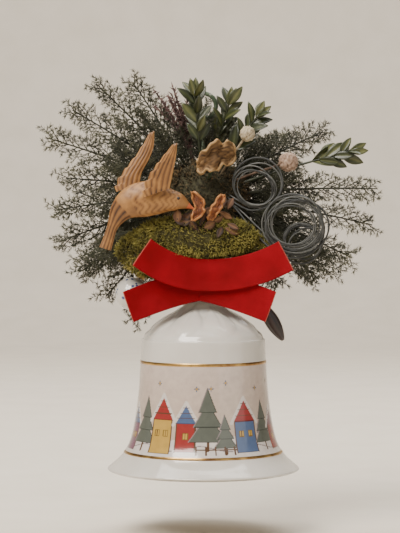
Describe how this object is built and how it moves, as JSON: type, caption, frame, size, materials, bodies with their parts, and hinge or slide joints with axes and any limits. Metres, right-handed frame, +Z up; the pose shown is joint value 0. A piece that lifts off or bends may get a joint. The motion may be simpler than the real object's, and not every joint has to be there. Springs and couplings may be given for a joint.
{
  "type": "christmas bell ornament",
  "caption": "Hanging porcelain bell with a flared lip and clapper, under a bouquet of evergreen sprigs, moss, a carved dove, curled vines and a red ribbon bow.",
  "frame": {"origin": "underside of the top of the hanging loop, where a hook bears", "axes": "+Z up, +X to the ornament's right as seen from the front, -Y towards the viewer at the front"},
  "size_m": [0.1294, 0.0752, 0.1533],
  "materials": {
    "porcelain": "clear glazed white porcelain",
    "brass": "polished",
    "clapper_wood": "oiled, turned",
    "red_cord": "twisted cord",
    "red_ribbon": "matt velvet-like ribbon",
    "florist_wire": "dull green lacquer",
    "floral_foam": "open foam",
    "moss": "dried moss",
    "juniper": "dried needles",
    "boxwood": "leathery leaves",
    "heather": "dried florets",
    "bow_card": "plain card",
    "vine": "dried curly vine",
    "carved_wood": "stained and carved",
    "bark": "dry bark",
    "orange_peel": "dried peel",
    "pink_seed": "dried seed head",
    "cream_seed": "dried seed head",
    "pod": "dark dried pod"
  },
  "bodies": {
    "swag": {"hanging_wire": "florist_wire", "foam_core": "floral_foam", "moss_front": "moss", "moss_back": "moss", "bow_upper_ribbon": "red_ribbon", "bow_lower_ribbon": "red_ribbon", "bow_card": "bow_card", "bow_wire": "florist_wire", "juniper_sprig_01": "juniper", "juniper_sprig_02": "juniper", "juniper_sprig_03": "juniper", "juniper_sprig_04": "juniper", "juniper_sprig_05": "juniper", "juniper_sprig_06": "juniper", "juniper_sprig_07": "juniper", "juniper_sprig_08": "juniper", "juniper_sprig_09": "juniper", "juniper_sprig_10": "juniper", "juniper_sprig_11": "juniper", "juniper_sprig_12": "juniper", "juniper_sprig_13": "juniper", "juniper_sprig_14": "juniper", "juniper_sprig_15": "juniper", "juniper_sprig_16": "juniper", "juniper_sprig_17": "juniper", "juniper_sprig_18": "juniper", "juniper_sprig_19": "juniper", "juniper_sprig_20": "juniper", "juniper_sprig_21": "juniper", "boxwood_sprig_1": "boxwood", "boxwood_sprig_2": "boxwood", "boxwood_sprig_3": "boxwood", "boxwood_sprig_4": "boxwood", "heather_sprig": "heather", "dove_body": "carved_wood", "dove_front_wing": "carved_wood", "dove_back_wing": "carved_wood", "dove_pick": "florist_wire", "bark_curl": "bark", "bark_pick": "florist_wire", "orange_peel_1": "orange_peel", "orange_peel_2": "orange_peel", "pink_seed_ball": "pink_seed", "cream_seed_ball": "cream_seed", "vine_coil_1": "vine", "vine_coil_2": "vine", "vine_coil_3": "vine", "bauble": "porcelain", "bauble_cap": "brass", "bauble_wire": "florist_wire", "seed_pod": "pod"},
    "bell": {"bell_shell": "porcelain"},
    "pin": {"clapper_pin": "brass"},
    "clapper": {"clapper_rod": "brass", "clapper_ball": "clapper_wood", "clapper_collar": "brass"},
    "cord": {"bell_cord": "red_cord"}
  },
  "joints": [
    {"name": "cord_swing", "type": "hinge", "parent": "swag", "child": "cord", "pos_m": [0, -0.003, -0.059], "axis": [1, 0, 0], "range_deg": [-3, 6]},
    {"name": "bell_swing", "type": "hinge", "parent": "cord", "child": "bell", "pos_m": [0, -0.003, -0.069], "axis": [0, 1, 0], "range_deg": [-8, 8]},
    {"name": "pin_turn", "type": "hinge", "parent": "bell", "child": "pin", "pos_m": [0, -0.003, -0.093], "axis": [0, 0, 1], "continuous": true},
    {"name": "clapper_swing", "type": "hinge", "parent": "pin", "child": "clapper", "pos_m": [0, -0.003, -0.093], "axis": [1, 0, 0], "range_deg": [-22, 22]}
  ]
}
